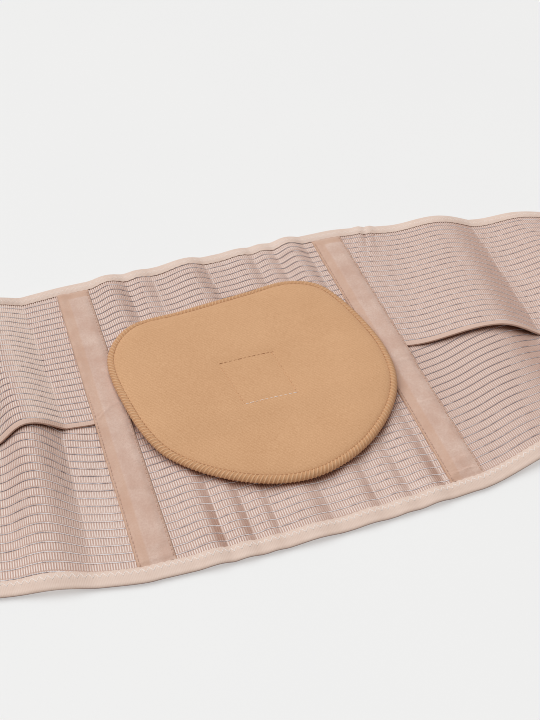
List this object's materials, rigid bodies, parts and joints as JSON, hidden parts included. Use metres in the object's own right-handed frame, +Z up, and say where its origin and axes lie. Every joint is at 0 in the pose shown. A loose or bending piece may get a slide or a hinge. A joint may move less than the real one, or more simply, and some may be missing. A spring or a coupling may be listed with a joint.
{
  "type": "lumbosacral brace",
  "caption": "Lumbosacral back brace lying open: fluted ladder-knit back panel, crossed elastic side bands, stay casings, bound edges, a shield-shaped lumbar pad and a hook closure.",
  "frame": {"origin": "on the table under the middle of the open brace, at the middle of its length and of its height", "axes": "+X along the belt, +Y to the upper edge of the back, +Z up out of the inner face"},
  "size_m": [0.92, 0.2592, 0.0181],
  "materials": {
    "ladder_knit": "ladder-knit elastic, peach ribs with glossy thread between the rows",
    "brushed_tricot": "matt brushed tricot tape, dusty rose",
    "fold_over_elastic": "ribbed fold-over elastic with zigzag stitches",
    "laminated_foam": "tan jersey laminated to foam, overlocked rim",
    "hook_tape": "moulded hook tape",
    "loop_plush": "short brushed loop pile"
  },
  "bodies": {
    "root": {"back_panel": "ladder_knit", "upper_band_left": "ladder_knit", "upper_band_right": "ladder_knit", "lower_band_left": "ladder_knit", "lower_band_right": "ladder_knit", "stay_casing_left": "brushed_tricot", "stay_casing_right": "brushed_tricot", "binding_top": "fold_over_elastic", "binding_bottom": "fold_over_elastic", "lumbar_pad": "laminated_foam", "pad_hook_patch": "hook_tape", "end_panel_left": "loop_plush", "end_panel_right": "loop_plush", "hook_closure": "hook_tape"}
  },
  "joints": []
}
